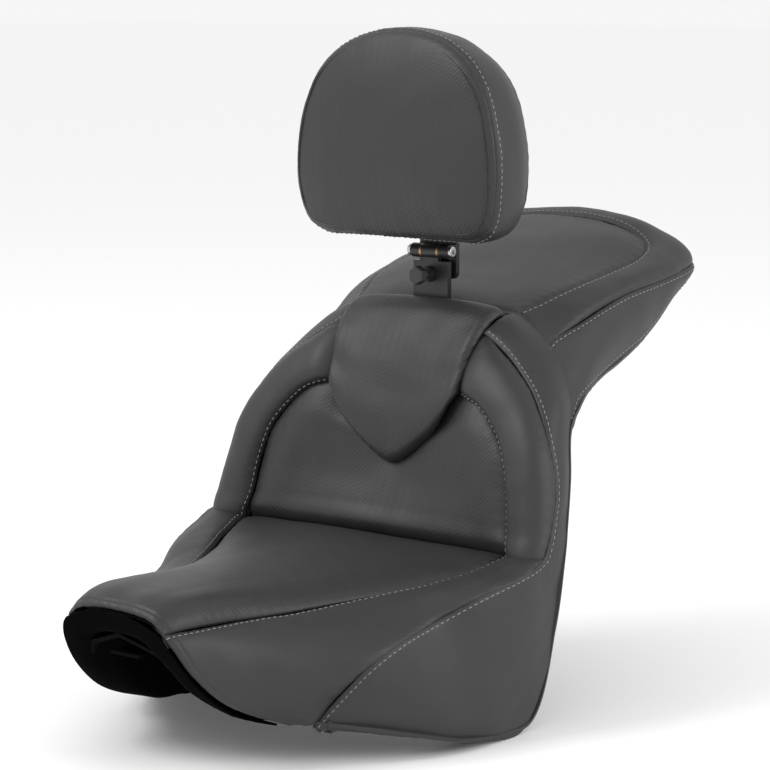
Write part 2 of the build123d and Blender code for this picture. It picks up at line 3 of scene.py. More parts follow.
import bpy
import numpy as np
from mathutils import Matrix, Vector


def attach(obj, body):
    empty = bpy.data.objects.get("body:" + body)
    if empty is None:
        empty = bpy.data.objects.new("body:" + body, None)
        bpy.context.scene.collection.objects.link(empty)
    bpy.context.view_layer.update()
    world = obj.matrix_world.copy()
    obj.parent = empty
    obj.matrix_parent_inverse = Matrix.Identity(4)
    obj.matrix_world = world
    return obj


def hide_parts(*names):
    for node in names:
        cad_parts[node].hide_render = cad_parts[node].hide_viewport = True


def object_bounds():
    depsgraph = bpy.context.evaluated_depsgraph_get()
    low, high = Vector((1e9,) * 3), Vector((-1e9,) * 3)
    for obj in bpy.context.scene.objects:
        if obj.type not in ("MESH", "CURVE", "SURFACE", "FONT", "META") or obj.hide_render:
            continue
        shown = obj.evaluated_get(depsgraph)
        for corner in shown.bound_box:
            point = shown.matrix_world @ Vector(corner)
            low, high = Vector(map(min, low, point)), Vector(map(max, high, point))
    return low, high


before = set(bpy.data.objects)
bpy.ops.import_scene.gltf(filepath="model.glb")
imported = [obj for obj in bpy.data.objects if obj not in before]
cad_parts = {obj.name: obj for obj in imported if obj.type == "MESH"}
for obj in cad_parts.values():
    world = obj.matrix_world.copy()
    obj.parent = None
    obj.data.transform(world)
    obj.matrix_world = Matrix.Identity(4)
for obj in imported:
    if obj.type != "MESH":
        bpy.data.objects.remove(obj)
cad_box = [[float(c) for c in corner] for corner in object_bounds()]


# ---- Camera, floor and light ------------------------------------------------
# A long lens from the seat's front left, a little above it, over a plain pale
# floor under a wide soft sky and two large soft boxes.
look_back = Vector((0.63664, -0.75873, 0.13786))
camera_data = bpy.data.cameras.new("camera")
camera_data.sensor_width = 36
camera_data.lens = 129.3
camera_data.clip_end = 200
camera = bpy.data.objects.new("camera", camera_data)
camera.location = (1.7413, -2.4272, 0.3180)
camera.rotation_euler = look_back.to_track_quat("Z", "Y").to_euler()
bpy.context.scene.collection.objects.link(camera)
bpy.context.scene.camera = camera
bpy.context.scene.view_settings.view_transform = "Standard"

sky = bpy.data.worlds.new("sky")
sky.use_nodes = True
sky.node_tree.nodes["Background"].inputs["Color"].default_value = (1, 1, 1, 1)
sky.node_tree.nodes["Background"].inputs["Strength"].default_value = 0.92
bpy.context.scene.world = sky

for name, place, aim, size, power in (
    ("soft_box_key", (-1.4, -2.8, 2.6), (0, -0.3, -0.1), 1.6, 60),
    ("soft_box_side", (3.0, 0.2, 1.1), (0, -0.3, -0.1), 1.6, 30),
):
    lamp_data = bpy.data.lights.new(name, "AREA")
    lamp_data.size = size
    lamp_data.energy = power
    lamp = bpy.data.objects.new(name, lamp_data)
    lamp.location = place
    away = Vector(place) - Vector(aim)
    lamp.rotation_euler = away.to_track_quat("Z", "Y").to_euler()
    bpy.context.scene.collection.objects.link(lamp)

floor_half = 60
floor_z = cad_box[0][2] - 0.0045
floor_mesh = bpy.data.meshes.new("studio_floor")
floor_mesh.from_pydata(
    [(x * floor_half, y * floor_half, floor_z) for x, y in ((-1, -1), (1, -1), (1, 1), (-1, 1))],
    [],
    [(0, 1, 2, 3)],
)
studio_floor = bpy.data.objects.new("studio_floor", floor_mesh)
bpy.context.scene.collection.objects.link(studio_floor)


# ---- Finishes ---------------------------------------------------------------
# Marine vinyl with a fine hide grain, the same vinyl embossed with a woven
# pattern and set a little darker as painted shade, thread, powder-coated steel,
# black pan plastic darkened past its own colour as painted shade, near-black
# foam that is also painted shade in the nose, and small metals.
def finish(name, colour, roughness, metallic=0.0, specular=0.5, sheen=0.0):
    """A plain finish whose values stand on the shader itself."""
    material = bpy.data.materials.new(name)
    material.use_nodes = True
    shader = material.node_tree.nodes["Principled BSDF"]
    shader.inputs["Base Color"].default_value = (*colour, 1)
    shader.inputs["Roughness"].default_value = roughness
    shader.inputs["Metallic"].default_value = metallic
    shader.inputs["Specular IOR Level"].default_value = specular
    shader.inputs["Sheen Weight"].default_value = sheen
    return material


def node(tree, kind, **links):
    """A node of that kind, with its inputs joined to sockets or set to values."""
    made = tree.nodes.new(kind)
    for name, value in links.items():
        socket = made.inputs[name.replace("_", " ")]
        if isinstance(value, bpy.types.NodeSocket):
            tree.links.new(value, socket)
        else:
            socket.default_value = value
    return made


def sums(tree, operation, *values):
    """One step of arithmetic on sockets or numbers."""
    made = tree.nodes.new("ShaderNodeMath")
    made.operation = operation
    for socket, value in zip(made.inputs, values):
        if isinstance(value, bpy.types.NodeSocket):
            tree.links.new(value, socket)
        else:
            socket.default_value = value
    return made.outputs[0]


def grained(material, cell, depth, strength=1.0, under=None):
    """Raises a hide grain: rounded cells of that size, with slower noise over them."""
    tree = material.node_tree
    place = node(tree, "ShaderNodeTexCoord").outputs["Object"]
    cells = node(tree, "ShaderNodeTexVoronoi", Vector=place, Scale=1 / cell)
    slow = node(tree, "ShaderNodeTexNoise", Vector=place, Scale=0.35 / cell, Detail=3.0)
    height = sums(tree, "ADD", cells.outputs["Distance"], slow.outputs[0])
    links = {"Height": height, "Strength": strength, "Distance": depth}
    if under is not None:
        links["Normal"] = under
    bump = node(tree, "ShaderNodeBump", **links)
    shader = tree.nodes["Principled BSDF"]
    tree.links.new(bump.outputs[0], shader.inputs["Normal"])
    return material


def woven(material, rib, depth):
    """Raises a twill: fine rounded ribs on the slant, broken where they pass under a neighbour and
    stronger in some patches than in others."""
    tree = material.node_tree
    flat = tree.nodes.new("ShaderNodeUVMap")
    flat.uv_map = "UVMap"
    turned = node(tree, "ShaderNodeMapping", Vector=flat.outputs[0])
    turned.inputs["Rotation"].default_value = (0, 0, math.radians(45))
    turned.inputs["Scale"].default_value = (1 / rib, 1 / rib, 1)
    apart = node(tree, "ShaderNodeSeparateXYZ", Vector=turned.outputs[0])
    across, along = apart.outputs[0], apart.outputs[1]
    ribs = sums(tree, "ABSOLUTE", sums(tree, "SINE", sums(tree, "MULTIPLY", across, math.pi)))
    run = sums(tree, "MULTIPLY", along, 0.25)
    step = sums(tree, "FRACT", sums(tree, "MULTIPLY_ADD", sums(tree, "FLOOR", across), 0.25, run))
    over = sums(tree, "SMOOTH_MAX", sums(tree, "PINGPONG", step, 0.5), 0.12)
    patches = node(tree, "ShaderNodeTexNoise", Vector=turned.outputs[0], Scale=0.07, Detail=1.0)
    strong = sums(tree, "MULTIPLY", patches.outputs[0], over)
    height = sums(tree, "MULTIPLY", ribs, strong)
    bump = node(tree, "ShaderNodeBump", Height=height, Strength=1.0, Distance=depth)
    return grained(material, 0.0012, 0.00006, 0.5, bump.outputs[0])


vinyl = grained(finish("charcoal_vinyl_hide", (0.0192, 0.0192, 0.0199), 0.50, sheen=0.02), 0.0011, 0.00010)
# Charcoal woven vinyl, set a little darker than the hide vinyl as painted shade of the sunken woven panels.
weave_with_painted_shade = woven(finish("charcoal_vinyl_weave_painted_shade", (0.0172, 0.0172, 0.0179), 0.49, sheen=0.02), 0.0034, 0.0006)
# Near-black foam: the lumbar core's own colour, and painted shade where the same finish lines the nose
# opening.
black_foam_and_shade = finish("black_foam_and_painted_shade", (0.0022, 0.0022, 0.0022), 1.0, specular=0.02)
thread = finish("grey_thread", (0.24, 0.24, 0.24), 0.7)
powder = grained(finish("black_powder_steel", (0.012, 0.012, 0.013), 0.38), 0.0007, 0.00004)
# Black plastic, darkened past its own colour as painted shade so that the inside of the nose reads black.
pan_plastic_and_shade = grained(finish("black_pan_plastic_painted_shade", (0.0026, 0.0026, 0.0026), 0.9, specular=0.05), 0.0009, 0.00006)
rubber = finish("bumper_rubber_black", (0.012, 0.012, 0.012), 0.8)
zinc = finish("zinc_steel", (0.55, 0.55, 0.54), 0.32, metallic=1.0)
stainless = finish("stainless_steel", (0.50, 0.50, 0.50), 0.28, metallic=1.0)
bronze = finish("bronze_bush", (0.42, 0.25, 0.10), 0.35, metallic=1.0)
knob_black = finish("knob_black", (0.020, 0.020, 0.021), 0.45)
backdrop = finish("pale_floor", (0.985, 0.985, 0.985), 1.0, specular=0.0)
studio_floor.data.materials.append(backdrop)

hard_finishes = {
    "base_pan": pan_plastic_and_shade,
    "fender_tab": powder,
    "front_tongue": pan_plastic_and_shade,
    "strap_rivets": pan_plastic_and_shade,
    "pan_bumpers": rubber,
    "hem_rivets": powder,
    "post_receiver": powder,
    "receiver_bolts": zinc,
    "receiver_nuts": zinc,
    "post_spring": stainless,
    "backrest_post": powder,
    "tilt_stud": stainless,
    "tilt_knob": knob_black,
    "pad_bracket": powder,
    "hinge_screw": stainless,
    "hinge_nut": stainless,
    "hinge_washers": bronze,
    "pad_bolts": zinc,
    "pad_tee_nuts": zinc,
    "pad_board": pan_plastic_and_shade,
}
for name, material in hard_finishes.items():
    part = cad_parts[name]
    part.data.materials.clear()
    part.data.materials.append(material)


# ---- Driver's insert --------------------------------------------------------
# The woven vinyl centre of the driver's seat: crowned over the nose, flattening
# to the crease under the lumbar pad, with a stitched seam down each side.
seed = np.random.default_rng(11)


def at(points):
    """Points in millimetres from the middle of the seat's crease, moved to the frame and put in metres."""
    return (np.asarray(points, float) + np.array([0, -372, -205])) / 1000


def through(points, count, crowd=0.0):
    """A smooth line through points: knots lie at the mean distance between neighbours, and between two knots
    runs a cubic that leans at each end along the weighted mean of the slopes beside it. crowd, from 0 to 1,
    draws the samples towards both ends."""
    p = np.asarray(points, float)
    gaps = np.linalg.norm(np.diff(p, axis=0), axis=-1).reshape(len(p) - 1, -1).mean(axis=1)
    knots = np.concatenate([[0], np.cumsum(gaps)]) / gaps.sum()
    even = np.linspace(0, 1, count)
    where = (1 - crowd) * even + crowd * (0.5 - 0.5 * np.cos(np.pi * even))
    tail = (1,) * (p.ndim - 1)
    h = np.diff(knots).reshape((-1,) + tail)
    slope = np.diff(p, axis=0) / h
    lean = np.zeros_like(p)
    if len(p) == 2:
        lean[:] = slope[0]
    else:
        lean[1:-1] = (h[1:] * slope[:-1] + h[:-1] * slope[1:]) / (h[1:] + h[:-1])
        lean[0] = 1.5 * slope[0] - 0.5 * lean[1]
        lean[-1] = 1.5 * slope[-1] - 0.5 * lean[-2]
    cell = np.clip(np.searchsorted(knots, where, side="right") - 1, 0, len(gaps) - 1)
    width = (knots[cell + 1] - knots[cell]).reshape((-1,) + tail)
    u = ((where - knots[cell]).reshape((-1,) + tail)) / width
    start = (2 * u**3 - 3 * u**2 + 1) * p[cell] + (u**3 - 2 * u**2 + u) * width * lean[cell]
    return start + (3 * u**2 - 2 * u**3) * p[cell + 1] + (u**3 - u**2) * width * lean[cell + 1]


def net(rows, count_s, count_t, crowd_s=0.6, crowd_t=0.6):
    """A surface of two parameters, s from row to row and t along each row: smooth lines through the rows'
    matching points, and then smooth lines across them."""
    down = through(np.asarray(rows, float), count_s, crowd_s)
    return through(down.transpose(1, 0, 2), count_t, crowd_t).transpose(1, 0, 2)


def both_sides(rows):
    """Rows that run from the middle outwards, carried on to the other side by their mirror image."""
    return [[(-x, y, z) for x, y, z in row[:0:-1]] + list(row) for row in rows]


def facing_out(grid, facing):
    """The unit normal at each point: the cross product of the steps in s and t, turned to face out."""
    normal = np.cross(np.gradient(grid, axis=0), np.gradient(grid, axis=1))
    normal /= np.linalg.norm(normal, axis=-1, keepdims=True) + 1e-12
    return normal if (normal * np.asarray(facing, float)).sum(axis=-1).mean() > 0 else -normal


def from_edges(grid):
    """Each point's distance, along the grid's own lines, from the start and end of s and of t."""
    found = []
    for axis in (0, 1):
        step = np.linalg.norm(np.diff(grid, axis=axis), axis=-1)
        run = np.concatenate([np.zeros_like(np.take(step, [0], axis)), np.cumsum(step, axis)], axis)
        found += [run, np.take(run, [-1], axis) - run]
    return found


def waves(grid, size, rng):
    """Slow unevenness, mostly between -1 and 1: nine sine waves of about that length, in all directions,
    added up and scaled."""
    total = 0
    for _ in range(9):
        way = rng.normal(size=3)
        way *= 2 * np.pi / (size * rng.uniform(0.7, 1.6) * np.linalg.norm(way))
        total = total + np.sin(grid @ way + rng.uniform(0, 2 * np.pi))
    return total / 3.6


def mesh_piece(name, points, faces, material, flat=None):
    """A mesh piece from points and faces, smooth but for its sharp edges. flat says where each point of
    its cloth lies when it is spread out."""
    mesh = bpy.data.meshes.new(name)
    mesh.from_pydata(np.asarray(points).tolist(), [], faces)
    mesh.polygons.foreach_set("use_smooth", np.ones(len(mesh.polygons), bool))
    if flat is not None:
        corner = np.zeros(len(mesh.loops), np.int32)
        mesh.loops.foreach_get("vertex_index", corner)
        layer = mesh.uv_layers.new(name="UVMap")
        layer.data.foreach_set("uv", np.asarray(flat, float)[corner].ravel())
    mesh.materials.append(material)
    mesh.set_sharp_from_angle(angle=math.radians(55))
    made = bpy.data.objects.new(name, mesh)
    bpy.context.scene.collection.objects.link(made)
    return made


def closed_faces(count_s, count_t, turned, ring=False):
    """The faces of a closed pad: the outer grid, the inner grid behind it, and the walls that join
    their edges."""
    cells = np.arange(count_s * count_t).reshape(count_s, count_t)
    if ring:
        cells = np.concatenate([cells, cells[:1]], axis=0)
    back = cells + count_s * count_t
    outer = [cells[:-1, :-1], cells[1:, :-1], cells[1:, 1:], cells[:-1, 1:]]
    inner = [back[:-1, :-1], back[:-1, 1:], back[1:, 1:], back[1:, :-1]]
    walls = [
        [cells[:-1, 0], back[:-1, 0], back[1:, 0], cells[1:, 0]],
        [cells[:-1, -1], cells[1:, -1], back[1:, -1], back[:-1, -1]],
    ]
    if not ring:
        walls += [
            [cells[0, :-1], cells[0, 1:], back[0, 1:], back[0, :-1]],
            [cells[-1, :-1], back[-1, :-1], back[-1, 1:], cells[-1, 1:]],
        ]
    quads = np.concatenate([np.stack([c.ravel() for c in part], axis=1) for part in [outer, inner, *walls]])
    return (quads[:, ::-1] if turned else quads).tolist()


def cushion(
    name, grid, facing, rolls, material, depth=0.012, grooves=(), flat=None, ring=False, give=0.0007,
):
    """A crowned closed pad over a grid. At the distance d from a sewn edge the face sinks by the quarter
    ellipse sink * (1 - sqrt(1 - (1 - d / width)^2)), so each edge rolls in to its seam. Grooves sink it
    by a narrow bell at their own distance from an edge. Short puckers fade away from the seams, and slow
    waves give it uneven foam. The back is the face carried inwards by depth. Returns the piece, its face
    and the face's normals."""
    pucker_height = 0.00022
    pucker_fade = 0.010
    pucker_length = 0.013
    ripple_height = 0.00025
    normal = facing_out(grid, facing)
    edges = from_edges(grid)
    sink = np.zeros(grid.shape[:2])
    pucker = np.zeros(grid.shape[:2])
    for roll, away, along in zip(rolls, edges, (edges[2], edges[2], edges[0], edges[0])):
        if roll is None:
            continue
        drop, width = roll
        near = np.clip(1 - away / width, 0, 1)
        sink = np.maximum(sink, drop * (1 - np.sqrt(1 - near**2)))
        phase = 2.2 * waves(grid, 0.05, seed)
        ruffle = np.sin(2 * np.pi * along / pucker_length + phase)
        pucker += pucker_height * np.exp(-away / pucker_fade) * ruffle
    for edge, reach, deep, wide in grooves:
        sink += deep * np.exp(-(((edges[edge] - reach) / wide) ** 2))
    uneven = give * waves(grid, 0.11, seed)
    uneven = uneven + ripple_height * waves(grid, 0.035, seed)
    height = uneven + pucker - sink
    face = grid + normal * height[..., None]
    normal = facing_out(face, facing)
    inside = face - normal * depth
    points = np.concatenate([face.reshape(-1, 3), inside.reshape(-1, 3)])
    steps = np.cross(face[1, 0] - face[0, 0], face[0, 1] - face[0, 0])
    turned = float(steps @ normal[0, 0]) < 0
    if flat is None:
        flat = np.stack([edges[0], edges[2]], axis=-1)
    flat = np.concatenate([flat.reshape(-1, 2)] * 2)
    faces = closed_faces(grid.shape[0], grid.shape[1], turned, ring)
    return mesh_piece(name, points, faces, material, flat), face, normal


def stitches(name, face, normal, edge, inset, ring=False, pitch=0.0062):
    """A row of thread along one edge of a face, inset from it: each stitch is a slim grain whose ends dip
    into the vinyl. edge is 0 or 1 for the start or end of s, and 2 or 3 for the start or end of t."""
    if edge < 2:
        face, normal = face.transpose(1, 0, 2), normal.transpose(1, 0, 2)
    if edge in (1, 3):
        face, normal = face[:, ::-1], normal[:, ::-1]
    line, up = [], []
    for points, ups in zip(face, normal):
        run = np.concatenate([[0], np.cumsum(np.linalg.norm(np.diff(points, axis=0), axis=1))])
        line.append([np.interp(inset, run, points[:, k]) for k in range(3)])
        up.append([np.interp(inset, run, ups[:, k]) for k in range(3)])
    line, up = np.array(line), np.array(up)
    if ring:
        line, up = np.concatenate([line, line[:1]]), np.concatenate([up, up[:1]])
    run = np.concatenate([[0], np.cumsum(np.linalg.norm(np.diff(line, axis=0), axis=1))])
    count = int(run[-1] / pitch)
    middle = (np.arange(count) + 0.5) * pitch
    places = np.stack([np.interp(middle, run, line[:, k]) for k in range(3)], axis=1)
    ahead = np.stack([np.interp(middle + 0.001, run, line[:, k]) for k in range(3)], axis=1) - places
    ahead /= np.linalg.norm(ahead, axis=1, keepdims=True) + 1e-12
    ups = np.stack([np.interp(middle, run, up[:, k]) for k in range(3)], axis=1)
    ups /= np.linalg.norm(ups, axis=1, keepdims=True)
    aside = np.cross(ahead, ups)
    half = 0.0022
    radius = 0.00046
    stand = 0.00035
    dip = 0.0006
    sides = 6
    points, faces = [], []
    turns = np.arange(sides) * 2 * np.pi / sides
    for k in range(count):
        base = len(points)
        for reach, scale in ((-0.8, 0.6), (-0.35, 1.0), (0.35, 1.0), (0.8, 0.6)):
            ring_middle = places[k] + ahead[k] * half * reach + ups[k] * stand * (1 - 2 * reach**2)
            spoke = np.cos(turns)[:, None] * aside[k] + np.sin(turns)[:, None] * ups[k]
            points.extend(ring_middle + spoke * radius * scale)
        points.append(places[k] - ahead[k] * half - ups[k] * dip)
        points.append(places[k] + ahead[k] * half - ups[k] * dip)
        for row in range(3):
            for i in range(sides):
                a, b = base + row * sides + i, base + row * sides + (i + 1) % sides
                faces.append((a, b, b + sides, a + sides))
        for i in range(sides):
            j = (i + 1) % sides
            faces.append((base + j, base + i, base + 4 * sides))
            faces.append((base + 3 * sides + i, base + 3 * sides + j, base + 4 * sides + 1))
    return mesh_piece(name, points, faces, thread)


def dressed(piece, body, stands_for):
    """A padded piece put on its body, with the plain solids that it stands for hidden."""
    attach(piece, body)
    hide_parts(*stands_for)


def sewn(face, normal, body, *rows):
    """Rows of thread on a face: each is a name, an edge and the distance from it."""
    for name, edge, inset in rows:
        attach(stitches(name, face, normal, edge, inset), body)


insert_half = [
    [(0, -359, -13), (28, -360, -14), (50, -359, -19), (63, -357, -29)],
    [(0, -342, -4), (31, -341, -4), (55, -339, -12), (68, -335, -28)],
    [(0, -318, 0), (33, -317, -1), (59, -315, -9), (72, -312, -28)],
    [(0, -285, 1), (35, -285, -1), (62, -284, -10), (76, -284, -28)],
    [(0, -225, 1), (38, -225, -3), (70, -225, -14), (88, -225, -28)],
    [(0, -155, 0), (46, -155, -4), (84, -155, -13), (107, -155, -25)],
    [(0, -85, 0), (60, -85, -3), (109, -85, -9), (137, -85, -18.5)],
    [(0, -40, 0), (70, -41, -1), (124, -42, -5), (157, -43, -10)],
    [(0, 2, -1), (73, 2, -1), (134, 0, -1), (169, -1, -2)],
    [(0, 16, -4), (74, 16, -4), (136, 14, -4), (171, 13, -5)],
]
grid = at(net(both_sides(insert_half), 190, 150))
piece, *_ = cushion(
    "rider_insert_panel", grid, (0, 0, 1), ((0.004, 0.010), None, (0.005, 0.014), (0.005, 0.014)), weave_with_painted_shade,
    grooves=((0, 0.007, 0.0011, 0.0012),), flat=grid[..., :2],
)
dressed(piece, "seat", ["rider_insert_cover", "rider_gel_pad", "rider_foam"])


# ---- Driver's side covers ---------------------------------------------------
# One vinyl cover on each side of the insert: it makes the thigh bolster behind
# and wraps down around the nose in front, as far as the long side seam.
side_rows = [
    [(63, -357, -29), (71, -353, -43), (80, -334, -74), (91, -298, -106), (102, -240, -131)],
    [(70, -325, -28), (82, -320, -43), (94, -304, -75), (104, -274, -105), (112, -234, -131)],
    [(75, -290, -28), (91, -289, -43), (107, -279, -72), (117, -256, -102), (125, -227, -129)],
    [(80, -256, -28), (101, -262, -44), (119, -259, -68), (132, -240, -92), (136, -214, -109)],
    [(88, -225, -28), (112, -236, -42), (130, -238, -62), (144, -226, -80), (150, -208, -92)],
    [(97, -190, -26.5), (121, -204, -38), (140, -212, -52), (156, -208, -65), (165, -198, -74)],
    [(107, -155, -25), (128, -166, -33), (148, -172, -43), (164, -171, -51), (174, -166, -56)],
    [(122, -117, -22), (142, -124, -25), (159, -129, -33), (172, -126, -39), (179, -119, -42)],
    [(137, -85, -18.5), (156, -88, -16), (174, -90, -17), (188, -87, -21), (198, -80, -24)],
    [(157, -43, -10), (172, -44, -6), (188, -43, -5), (202, -40, -8), (213, -37, -10)],
    [(169, -2, -1), (182, -2, 2), (194, -1, 4), (205, 0, 4), (213, 1, 3)],
    [(171, 10, -4), (184, 12, -1), (195, 13, 1), (204, 14, 1), (210, 14, 0)],
]
for side, way in (("left", 1), ("right", -1)):
    grid = at(net(side_rows, 180, 90)) * (way, 1, 1)
    piece, face, normal = cushion(
        f"rider_side_panel_{side}", grid, (way * 0.6, -0.4, 0.5),
        ((0.004, 0.010), None, (0.005, 0.012), (0.003, 0.009)), vinyl,
        grooves=((0, 0.008, 0.0009, 0.0014),),
    )
    dressed(piece, "seat", [f"rider_side_cover_{side}"])
    sewn(face, normal, "seat", (f"rider_insert_stitching_{side}", 2, 0.0065))


# ---- Rear side covers -------------------------------------------------------
# The tall vinyl side of the seat: from the long seam and the lumbar pad's outer
# welt down to the bottom hem and back to the rear edge and the pillion's pleat.
rear_rows = [
    [(122, -228, -130), (128, -224, -132), (134, -219, -133)],
    [(135, -216, -110), (144, -206, -124), (150, -198, -136)],
    [(150, -208, -92), (160, -186, -118), (165, -172, -142)],
    [(165, -198, -74), (174, -162, -112), (178, -148, -147)],
    [(174, -167, -56), (184, -136, -104), (188, -125, -152)],
    [(179, -119, -42), (193, -104, -98), (197, -98, -157)],
    [(198, -80, -24), (205, -69, -92), (203, -62, -162)],
    [(213, -37, -10), (212, -27, -78), (201, -14, -162)],
    [(215, -5, 0), (215, 5, -30), (211, 22, -70)],
    [(215, 3, 8), (215, 18, 3), (213, 34, 0)],
    [(213, 13, 30), (212, 28, 32), (208, 44, 33)],
    [(208, 26, 62), (206, 42, 65), (200, 58, 66)],
    [(193, 32, 110), (195, 50, 110), (190, 70, 108)],
    [(168, 43, 147), (182, 62, 145), (180, 84, 140)],
    [(136, 54, 174), (154, 72, 177), (157, 92, 182)],
    [(112, 58, 190), (122, 78, 203), (128, 98, 204)],
    [(90, 61, 202), (96, 80, 216), (99, 99, 220)],
]
for side, way in (("left", 1), ("right", -1)):
    grid = at(net(rear_rows, 240, 60)) * (way, 1, 1)
    piece, face, normal = cushion(
        f"rear_side_panel_{side}", grid, (way, 0.1, 0.1),
        (None, (0.003, 0.010), (0.003, 0.009), None), vinyl, depth=0.009,
    )
    dressed(piece, "seat", [f"rear_side_cover_{side}"])
    sewn(face, normal, "seat", (f"long_side_stitching_{side}", 2, 0.0055))


# ---- Nose shade lining ------------------------------------------------------
# The moulded roof and walls inside the nose opening, that pass over the frame's
# backbone and turn down to the hem on each side, as a near-black sheet whose
# black is painted shade of the deep recess.
shade_lining_half = [
    [
        (0, -362, -19), (28, -363, -20), (48, -362, -26), (60, -359, -33),
        (67, -354, -46), (75, -335, -75), (82, -300, -106), (90, -242, -129),
    ],
    [
        (0, -358, -33), (26, -358, -34), (42, -357, -40), (50, -354, -48),
        (57, -346, -60), (64, -327, -84), (75, -292, -110), (86, -236, -131),
    ],
    [
        (0, -335, -40), (24, -335, -42), (36, -333, -48), (42, -330, -57),
        (46, -322, -70), (50, -306, -90), (57, -280, -112), (70, -238, -130),
    ],
    [
        (0, -260, -42), (26, -260, -44), (42, -260, -50), (52, -258, -62),
        (58, -252, -78), (62, -240, -98), (66, -224, -118), (72, -196, -136),
    ],
    [
        (0, -140, -44), (28, -140, -46), (46, -140, -52), (57, -141, -62),
        (64, -144, -76), (69, -149, -94), (73, -156, -114), (76, -166, -138),
    ],
]
grid = at(net(both_sides(shade_lining_half), 90, 130))
# The lining's near-black finish is painted shade.
piece, *_ = cushion(
    "nose_shade_lining", grid, (0, 0, 1), (None, None, None, None), black_foam_and_shade, depth=0.002, give=0.0,
)
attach(piece, "seat")


# ---- Lumbar bolsters --------------------------------------------------------
# The vinyl roll that arches round the lumbar pad, from the crease on each side
# up to the shield, stitched along its inner seam.
bolster_rows = [
    [(169, 2, -16), (176, -4, -15), (190, -11, -14), (204, -7, -13), (212, 4, -10)],
    [(167, -2, 0), (174, -9, 0), (189, -16, 0), (206, -11, 2), (214, 2, 5)],
    [(162, 5, 24), (171, -4, 24), (188, -9, 25), (205, -2, 27), (213, 13, 28)],
    [(158, 11, 53), (167, 1, 54), (183, -2, 56), (200, 7, 60), (208, 25, 62)],
    [(146, 18, 92), (155, 9, 95), (171, 8, 100), (186, 16, 107), (193, 32, 110)],
    [(131, 25, 113), (139, 17, 119), (152, 18, 129), (163, 28, 141), (168, 43, 147)],
    [(109, 31, 132), (113, 24, 140), (121, 26, 154), (131, 38, 169), (136, 54, 174)],
    [(90, 36, 138), (92, 29, 147), (96, 31, 163), (102, 44, 184), (107, 58, 194)],
    [(72, 50, 136), (72, 48, 148), (74, 52, 168), (79, 63, 192), (83, 75, 204)],
]
for side, way in (("left", 1), ("right", -1)):
    grid = at(net(bolster_rows, 170, 80)) * (way, 1, 1)
    piece, face, normal = cushion(
        f"lumbar_bolster_{side}", grid, (0, -1, 0.1),
        (None, None, (0.004, 0.011), (0.003, 0.010)), vinyl, depth=0.016,
    )
    dressed(piece, "seat", [f"lumbar_bolster_cover_{side}"])
    sewn(face, normal, "seat", (f"lumbar_inner_stitching_{side}", 2, 0.0065))


# ---- Lumbar core ------------------------------------------------------------
# The foam block of the lumbar wall, hidden behind its sewn covers, which rest on
# it all over, so that no seam opens into the hollow of the seat.
core_half = [
    [(0, 22, -12), (84, 20, -12), (150, 16, -12), (192, 16, -12), (204, 18, -12)],
    [(0, 30, 26), (84, 26, 26), (148, 20, 26), (190, 18, 26), (203, 24, 27)],
    [(0, 50, 62), (80, 40, 58), (144, 27, 55), (182, 20, 58), (198, 34, 61)],
    [(0, 60, 98), (72, 52, 96), (130, 35, 96), (168, 28, 101), (184, 40, 106)],
    [(0, 66, 126), (62, 60, 122), (112, 45, 126), (146, 39, 132), (160, 50, 142)],
    [(0, 76, 160), (48, 72, 158), (88, 60, 158), (118, 54, 158), (130, 64, 168)],
    [(0, 88, 196), (34, 86, 196), (60, 84, 194), (80, 80, 190), (90, 78, 188)],
]
grid = at(net(both_sides(core_half), 60, 90))
piece, *_ = cushion(
    "lumbar_core", grid, (0, -1, 0.2), (None, None, None, None), black_foam_and_shade, depth=0.020, give=0.0,
)
dressed(piece, "seat", ["lumbar_foam"])


# ---- Lumbar insert ----------------------------------------------------------
# The dished woven panel of the lumbar pad, inside the arch and under the shield.
lumbar_half = [
    [(0, 27, -9), (62, 26, -9), (118, 21, -9), (150, 16, -9), (171, 13, -9)],
    [(0, 15, -3), (62, 13, -3), (118, 9, -3), (150, 6, -3), (170, 4, -3)],
    [(0, 9, 8), (62, 7, 8), (118, 3, 8), (150, 0, 8), (168, 0, 8)],
    [(0, 16, 26), (56, 13, 27), (108, 7, 27), (144, 2, 26), (165, 5, 25)],
    [(0, 25, 48), (44, 23, 51), (96, 15, 54), (136, 7, 54), (161, 11, 53)],
    [(0, 33, 68), (30, 31, 79), (78, 23, 88), (121, 15, 92), (149, 18, 93)],
    [(0, 34, 72), (27, 33, 86), (70, 27, 104), (108, 21, 113), (133, 25, 116)],
    [(0, 37, 77), (25, 38, 93), (60, 38, 115), (91, 31, 130), (111, 32, 136)],
    [(0, 46, 86), (22, 47, 102), (46, 49, 126), (64, 50, 144), (78, 50, 154)],
]
grid = at(net(both_sides(lumbar_half), 120, 150))
piece, *_ = cushion(
    "lumbar_insert_panel", grid, (0, -1, 0.3), (None, None, (0.004, 0.013), (0.004, 0.013)), weave_with_painted_shade,
    depth=0.014, flat=grid[..., ::2],
)
dressed(piece, "seat", ["lumbar_insert_cover"])


